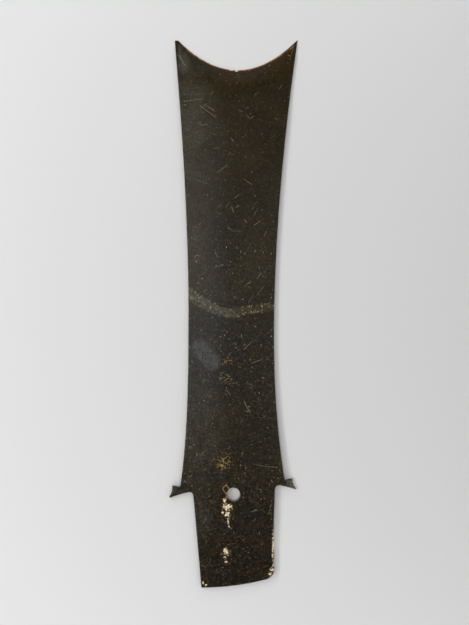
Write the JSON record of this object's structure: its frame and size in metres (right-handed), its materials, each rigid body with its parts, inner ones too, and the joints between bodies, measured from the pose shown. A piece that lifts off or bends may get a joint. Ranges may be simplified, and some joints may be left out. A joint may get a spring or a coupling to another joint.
{
  "type": "ceremonial jade blade",
  "caption": "Long thin ceremonial blade of dark jade with a hollow cutting edge, waisted sides, small flared lugs at the shoulders and a drilled tang; lies on its flat back.",
  "frame": {"origin": "under the middle of the blade's box, on the surface it lies on; the hole's axis crosses the X = 0 line", "axes": "+Y from the tang to the cutting edge, +X across to the right seen from the front, +Z out of the crowned front"},
  "size_m": [0.0822, 0.35, 0.006],
  "materials": {
    "polished_jade": "polished, with scratches"
  },
  "bodies": {
    "root": {"jade_blade": "polished_jade"}
  },
  "joints": []
}
